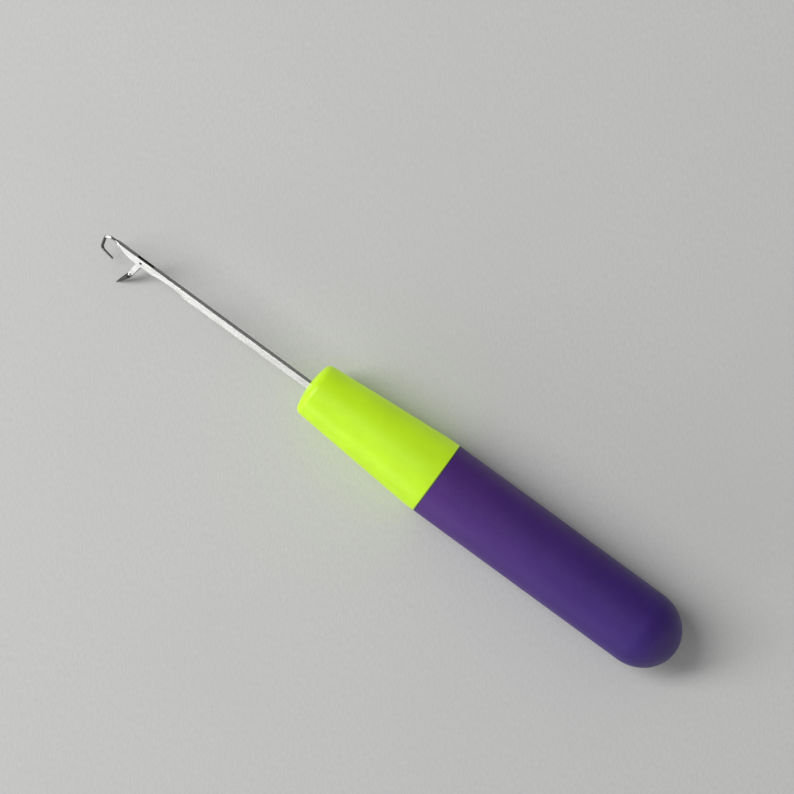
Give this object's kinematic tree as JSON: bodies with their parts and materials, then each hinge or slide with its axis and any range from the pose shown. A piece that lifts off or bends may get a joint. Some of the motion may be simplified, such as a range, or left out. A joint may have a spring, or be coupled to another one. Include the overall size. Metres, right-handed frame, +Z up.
{
  "type": "latch hook",
  "caption": "Latch hook: a flat steel needle ends in an open hook that a swinging spoon latch closes, held in a round two-piece plastic handle with a domed end.",
  "frame": {"origin": "on the surface that the tool lies on, under the middle of its length and under the handle's axis", "axes": "+X along the tool from the hook to the domed end of the handle, +Z up from the surface, -Y to the side that the hook and latch point to"},
  "size_m": [0.16, 0.018, 0.018],
  "materials": {
    "needle_steel": "nickel-plated, polished flats with fine draw lines along them",
    "latch_steel": "nickel-plated, polished",
    "rivet_steel": "plain steel, dark and dull",
    "grip_plastic": "fluorescent yellow-green moulded plastic, satin",
    "barrel_plastic": "deep purple moulded plastic, satin, a little scuffed"
  },
  "bodies": {
    "tool": {"needle": "needle_steel", "latch_rivet": "rivet_steel", "front_grip": "grip_plastic", "rear_barrel": "barrel_plastic"},
    "latch": {"latch": "latch_steel"}
  },
  "joints": [
    {"name": "latch_pivot", "type": "hinge", "parent": "tool", "child": "latch", "pos_m": [-0.0697, 0, 0.009], "axis": [0, 0.7826, -0.6225], "range_deg": [-84, 40]}
  ]
}
